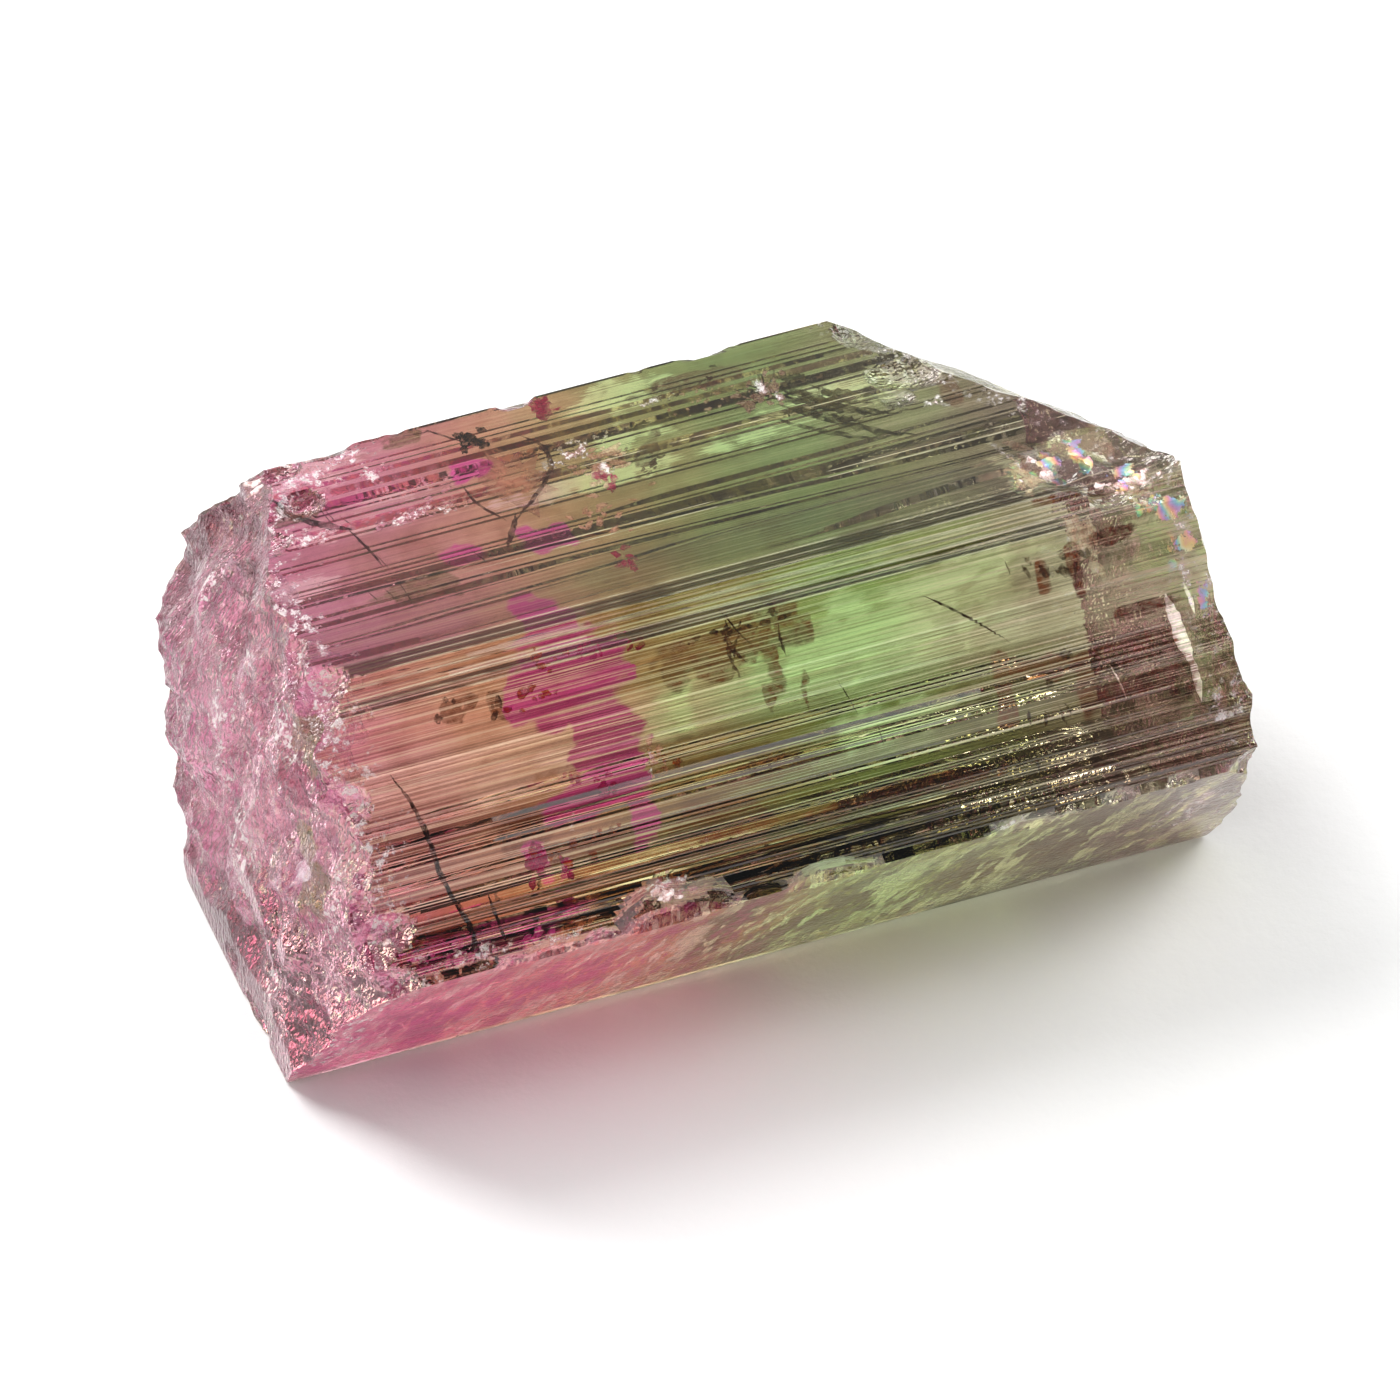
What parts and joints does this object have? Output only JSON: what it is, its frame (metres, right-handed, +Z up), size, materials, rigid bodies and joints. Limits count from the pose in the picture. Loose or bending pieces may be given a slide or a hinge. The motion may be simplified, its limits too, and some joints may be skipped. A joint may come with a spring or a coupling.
{
  "type": "tourmaline crystal",
  "caption": "Transparent bicolour tourmaline prism, striated lengthwise and broken at both ends, lying on one prism face.",
  "frame": {"origin": "under the middle of the crystal's box, on the surface that it rests on", "axes": "+X along the crystal towards its green and grey-brown end, -Y towards the striated front, +Z up"},
  "size_m": [0.0316, 0.019, 0.0156],
  "materials": {
    "tourmaline": "clear natural crystal, pink at one end through olive and apple green to grey-brown at the other, with striated prism faces and rough broken ends"
  },
  "bodies": {
    "root": {"tourmaline_crystal": "tourmaline"}
  },
  "joints": []
}
